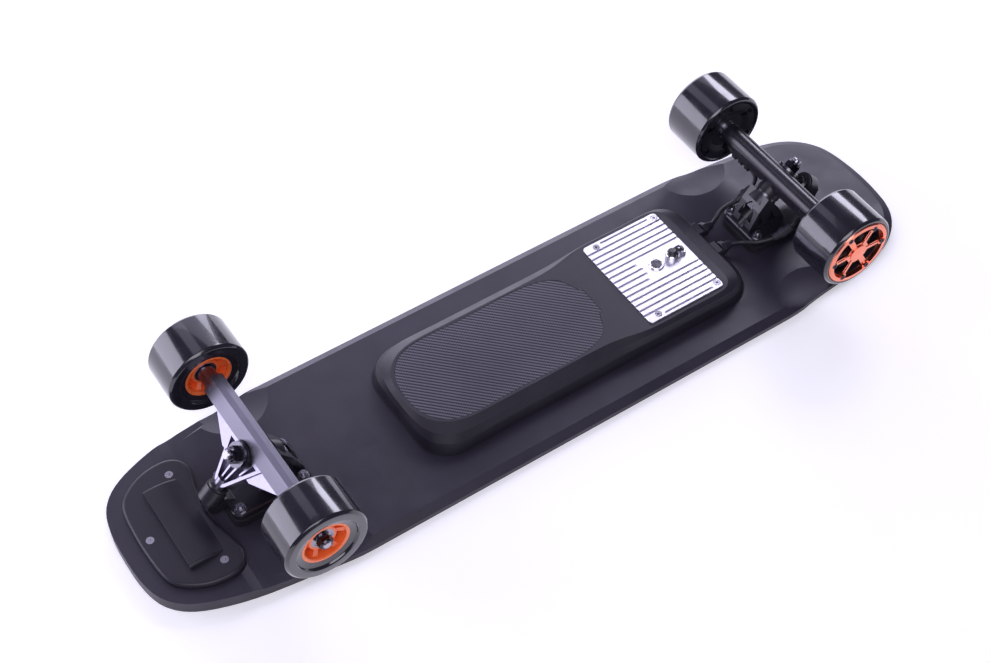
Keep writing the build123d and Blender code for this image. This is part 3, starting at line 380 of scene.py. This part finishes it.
def tyre_material(name, x, z, color=(0.013, 0.012, 0.018)):
    """Cast urethane: glossy, with faint turning rings about the axle and rolled dust on the tread."""
    m = Nodes(name).base(spec=0.6, coat=0.7, coat_rough=0.04)
    sep = m.n("ShaderNodeSeparateXYZ")
    m.l(m.mapping(loc=(-x, 0, -z)), sep.inputs[0])
    r = m.math("SQRT", m.math("ADD", m.math("MULTIPLY", sep.outputs[0], sep.outputs[0]), m.math("MULTIPLY", sep.outputs[2], sep.outputs[2])))
    com = m.n("ShaderNodeCombineXYZ")
    m.l(r, com.inputs[0])
    m.l(sep.outputs[1], com.inputs[1])
    rings = m.noise(1.0, 3.0, 0.6, src=m.mapping(scale=(3200, 1600, 1), src=com.outputs[0]))
    cloud = m.noise(26.0, 4.0, 0.6)
    c0 = tuple(v * 0.8 for v in color)
    c1 = tuple(v * 1.25 for v in color)
    m.set("Base Color", m.ramp(cloud, [(0.3, c0), (0.7, c1)]))
    smudge = m.noise(48.0, 4.0, 0.65)
    m.set("Roughness", m.math("ADD", m.remap(smudge, 0.13, 0.24, 0.35, 0.7), m.remap(rings, -0.015, 0.03, 0.3, 0.7)))
    b = m.bump(rings, 0.05, 0.00008)
    m.set("Normal", m.bump(cloud, 0.05, 0.0004, b))
    return m.mat


def core_material():
    m = Nodes("core_orange").base(spec=0.5, sss=0.0, coat=0.3, coat_rough=0.08)
    cloud = m.noise(40.0, 3.0)
    col = m.ramp(cloud, [(0.3, (0.93, 0.150, 0.030)), (0.7, (1.0, 0.215, 0.050))])
    # painted highlight: sharp edges lightened towards pale orange in the base colour
    e = edge_mask(m, 0.0008, 2.0)
    col = m.mix(m.math("MULTIPLY", e, 0.4), col, (1.0, 0.42, 0.18))
    m.set("Base Color", col)
    m.set("Roughness", m.remap(m.noise(300.0, 3.0), 0.24, 0.36, 0.3, 0.7))
    m.set("Normal", m.bump(m.noise(900.0, 2.0), 0.08, 0.0001))
    return m.mat


M["core_orange"] = core_material()

SLOT_OF = {s["node"]: s["material_slot"] for s in frame["record"]["subparts"]}
FX, FZ = 0.2873, 0.0815
RX, RZ = -0.2980, 0.0786
M["tyre"] = tyre_material("tyre_front", FX, FZ)
M["tyre_rear"] = tyre_material("tyre_rear", RX, RZ)

for name, obj in NODES.items():
    mat = M.get(SLOT_OF.get(name, ""), M["black_moulding"])
    if name.startswith("rear_") and name.endswith("_tyre"):
        mat = M["tyre_rear"]
    if obj.type == "MESH":
        if not obj.material_slots:
            obj.data.materials.append(mat)
        for s in obj.material_slots:
            s.material = mat

# ------------------------------------------------------------------ detailed pieces


def lathe(name, profile, x, y0, sgn, z, segs=160, closed=True):
    """profile of (radius, t) in mm turned about the Y axis through (x, z); t runs outwards from y0."""
    me = bpy.data.meshes.new(name)
    bm = bmesh.new()
    rows = []
    for r, t in profile:
        row = []
        for i in range(segs):
            a = 2 * math.pi * i / segs
            row.append(bm.verts.new((x + r / 1000 * math.cos(a), sgn * (y0 + t / 1000), z + r / 1000 * math.sin(a))))
        rows.append(row)
    n = len(rows)
    for k in range(n if closed else n - 1):
        a, b = rows[k], rows[(k + 1) % n]
        for i in range(segs):
            j = (i + 1) % segs
            bm.faces.new((a[i], a[j], b[j], b[i]))
    bmesh.ops.recalc_face_normals(bm, faces=bm.faces)
    bm.to_mesh(me)
    bm.free()
    for p in me.polygons:
        p.use_smooth = True
    o = bpy.data.objects.new(name, me)
    scene.collection.objects.link(o)
    return o


def rounded(points, radii, steps=5):
    """Replaces each corner of a closed (r, t) profile with an arc of the radius given, in mm."""
    out = []
    n = len(points)
    for i in range(n):
        p, a, b = Vector(points[i]), Vector(points[i - 1]), Vector(points[(i + 1) % n])
        rr = radii[i]
        if rr <= 0:
            out.append(tuple(p))
            continue
        u, v = (a - p).normalized(), (b - p).normalized()
        ang = u.angle(v)
        d = min(rr / math.tan(ang / 2), 0.48 * (a - p).length, 0.48 * (b - p).length)
        s, e = p + u * d, p + v * d
        for k in range(steps + 1):
            t = k / steps
            q = s * (1 - t) ** 2 + p * 2 * t * (1 - t) + e * t * t
            out.append((q.x, q.y))
    return out


FRONT_TYRE = [(23.0, 3.8), (28.6, 2.7), (29.5, 0.9), (30.4, 0.05), (37.6, 0.05), (39.98, 2.6), (39.98, 43.8), (37.6, 46.35),
              (30.4, 46.35), (29.5, 45.5), (28.6, 43.7), (23.0, 42.6)]
FRONT_ROUND = [0.3, 1.2, 0.8, 0.9, 1.8, 2.2, 2.2, 1.8, 0.9, 0.8, 1.2, 0.3]
REAR_TYRE = [(33.55, 3.0), (34.7, 0.9), (36.2, 0.05), (38.2, 0.3), (39.98, 2.6), (39.98, 47.4), (38.4, 49.9), (36.6, 50.15), (35.5, 49.3), (35.5, 46.62), (33.55, 46.62)]
REAR_ROUND = [0.3, 0.8, 0.9, 1.2, 2.0, 2.0, 1.4, 0.8, 0.4, 0.2, 0.1]
for side, s in (("left", 1), ("right", -1)):
    t = lathe(f"tyre_front_{side}", rounded(FRONT_TYRE, FRONT_ROUND), FX, 0.0817, s, FZ)
    t.data.materials.append(M["tyre"])
    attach(t, f"front_{side}_wheel")
    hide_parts(f"front_{side}_tyre")
    t = lathe(f"tyre_rear_{side}", rounded(REAR_TYRE, REAR_ROUND), RX, 0.0736, s, RZ)
    t.data.materials.append(M["tyre_rear"])
    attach(t, f"rear_{side}_wheel")
    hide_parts(f"rear_{side}_tyre")

# ------------------------------------------------------------------ motor leads
REAR_X, DECK_Z = -0.298, 0.0099


def smooth_path(route):
    """Points read from the smooth spline of a route, given in the rear truck's frame (u outboard, y, height, in mm)."""
    cu = bpy.data.curves.new("route", "CURVE")
    cu.dimensions = "3D"
    cu.resolution_u = 10
    sp = cu.splines.new("NURBS")
    sp.points.add(len(route) - 1)
    for q, (u, y, w) in zip(sp.points, route):
        q.co = (REAR_X - u / 1000, -y / 1000, DECK_Z + w / 1000, 1.0)
    sp.order_u = 3
    sp.use_endpoint_u = True
    o = bpy.data.objects.new("route", cu)
    scene.collection.objects.link(o)
    me = bpy.data.meshes.new_from_object(o)
    line = [v.co.copy() for v in me.vertices]
    bpy.data.objects.remove(o)
    bpy.data.meshes.remove(me)
    bpy.data.curves.remove(cu)
    return line


def tubes(name, paths, radius=0.0022, segs=20):
    """Round tubes along paths, with closed ends."""
    bm = bmesh.new()
    for path in paths:
        rows = []
        side = None
        for i, q in enumerate(path):
            d = (path[min(i + 1, len(path) - 1)] - path[max(i - 1, 0)]).normalized()
            if side is None:
                side = d.orthogonal().normalized()
            side = (side - d * side.dot(d)).normalized()
            up = d.cross(side)
            rows.append([bm.verts.new(q + side * (radius * math.cos(2 * math.pi * k / segs)) + up * (radius * math.sin(2 * math.pi * k / segs))) for k in range(segs)])
        for a, b in zip(rows, rows[1:]):
            for k in range(segs):
                j = (k + 1) % segs
                bm.faces.new((a[k], a[j], b[j], b[k]))
        bm.faces.new(rows[0][::-1])
        bm.faces.new(rows[-1])
    bmesh.ops.recalc_face_normals(bm, faces=bm.faces)
    me = bpy.data.meshes.new(name)
    bm.to_mesh(me)
    bm.free()
    for f in me.polygons:
        f.use_smooth = len(f.vertices) == 4
    o = bpy.data.objects.new(name, me)
    scene.collection.objects.link(o)
    o.data.materials.append(M["cable"])
    return o


FLAT = 54.7
BOARD_LEADS = [
    [(-57.0, 21.0, 10.7), (-51, 23, 11.6), (-43, 26.5, 17), (-35.5, 24, 25), (-27.3, 19.5, 30.6)],
    [(-10.7, 18.9, 40.3), (-6.5, 18.9, 46.5), (-5, 22.4, 53.8), (-5, 29.4, FLAT)],
    [(-57.0, -9.5, 10.7), (-51, -13, 11.6), (-44.5, -22.5, 16.5), (-34, -31, 19.3), (-22.3, -34.7, 22.0)],
    [(-6.7, -39.7, 32.8), (-2.6, -41.6, 40), (-3.2, -44.6, 49.4), (-5, -49.2, FLAT)],
]
for name, paths in (("leads_board_side", BOARD_LEADS[0::2]), ("lead_a_upper", BOARD_LEADS[1:2]), ("lead_b_upper", BOARD_LEADS[3:4])):
    t = tubes(name, [smooth_path(q) for q in paths])
    if name == "leads_board_side":
        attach(t, "board")
    else:
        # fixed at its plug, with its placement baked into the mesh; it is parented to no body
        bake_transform(t)
    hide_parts("motor_leads")


# ------------------------------------------------------------------ floor and lights
bpy.ops.mesh.primitive_plane_add(size=14.0, location=(0, 0, -0.0004))
floor = bpy.context.object
floor.name = "floor"
fm = Nodes("floor_paper").base(spec=0.0, rough=0.9)
fm.set("Base Color", fm.ramp(fm.noise(3.0, 3.0), [(0.3, (0.88, 0.88, 0.90)), (0.7, (0.91, 0.91, 0.92))]))
fm.b.inputs["Emission Color"].default_value = (0.98, 0.97, 1.0, 1.0)
fm.b.inputs["Emission Strength"].default_value = 0.32
floor.data.materials.append(fm.mat)
floor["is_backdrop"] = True

world = bpy.data.worlds.new("studio")
scene.world = world
world.use_nodes = True
wt = world.node_tree
bg = wt.nodes["Background"]
bg.inputs[0].default_value = (0.74, 0.70, 1.0, 1.0)
bg.inputs[1].default_value = 0.13
pale = wt.nodes.new("ShaderNodeBackground")
pale.inputs[0].default_value = (1.0, 1.0, 1.0, 1.0)
pale.inputs[1].default_value = 1.0
lp = wt.nodes.new("ShaderNodeLightPath")
mixw = wt.nodes.new("ShaderNodeMixShader")
wt.links.new(lp.outputs["Is Camera Ray"], mixw.inputs[0])
wt.links.new(bg.outputs[0], mixw.inputs[1])
wt.links.new(pale.outputs[0], mixw.inputs[2])
wt.links.new(mixw.outputs[0], wt.nodes["World Output"].inputs[0])


def area(name, pos, aim, size, radiance, color=(1, 1, 1), spread=180):
    d = bpy.data.lights.new(name, "AREA")
    d.shape = "RECTANGLE"
    d.size, d.size_y = size
    d.energy = radiance * math.pi * size[0] * size[1]
    d.color = color
    d.spread = math.radians(spread)
    o = bpy.data.objects.new(name, d)
    scene.collection.objects.link(o)
    o.location = pos
    o.rotation_euler = (Vector(aim) - Vector(pos)).to_track_quat("-Z", "Y").to_euler()
    return o


area("top_box", (0.9, 1.5, 2.5), (0, 0, 0), (2.4, 1.8), 3.4, (0.90, 0.87, 1.0))
area("sheen_box", (-0.35, -1.70, 1.6), (0, 0, 0), (2.4, 0.7), 1.15, (0.82, 0.78, 1.0))
area("nose_box", (0.35, -1.30, 2.0), (0.37, 0, 0), (0.8, 0.8), 0.8, (0.82, 0.78, 1.0))
area("tail_box", (-1.75, -1.15, 1.6), (-0.38, 0, 0), (0.9, 0.7), 9.0, (0.84, 0.82, 1.0))
area("side_box", (1.75, -1.34, 0.76), (0, 0, 0.5), (1.7, 1.45), 4.2, (0.84, 0.81, 1.0))
area("back_box", (-0.9, -2.8, 0.9), (-0.1, 0, 0.5), (3.2, 1.7), 4.4, (0.82, 0.81, 1.0))

VISUAL_BOX = numbers(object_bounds())
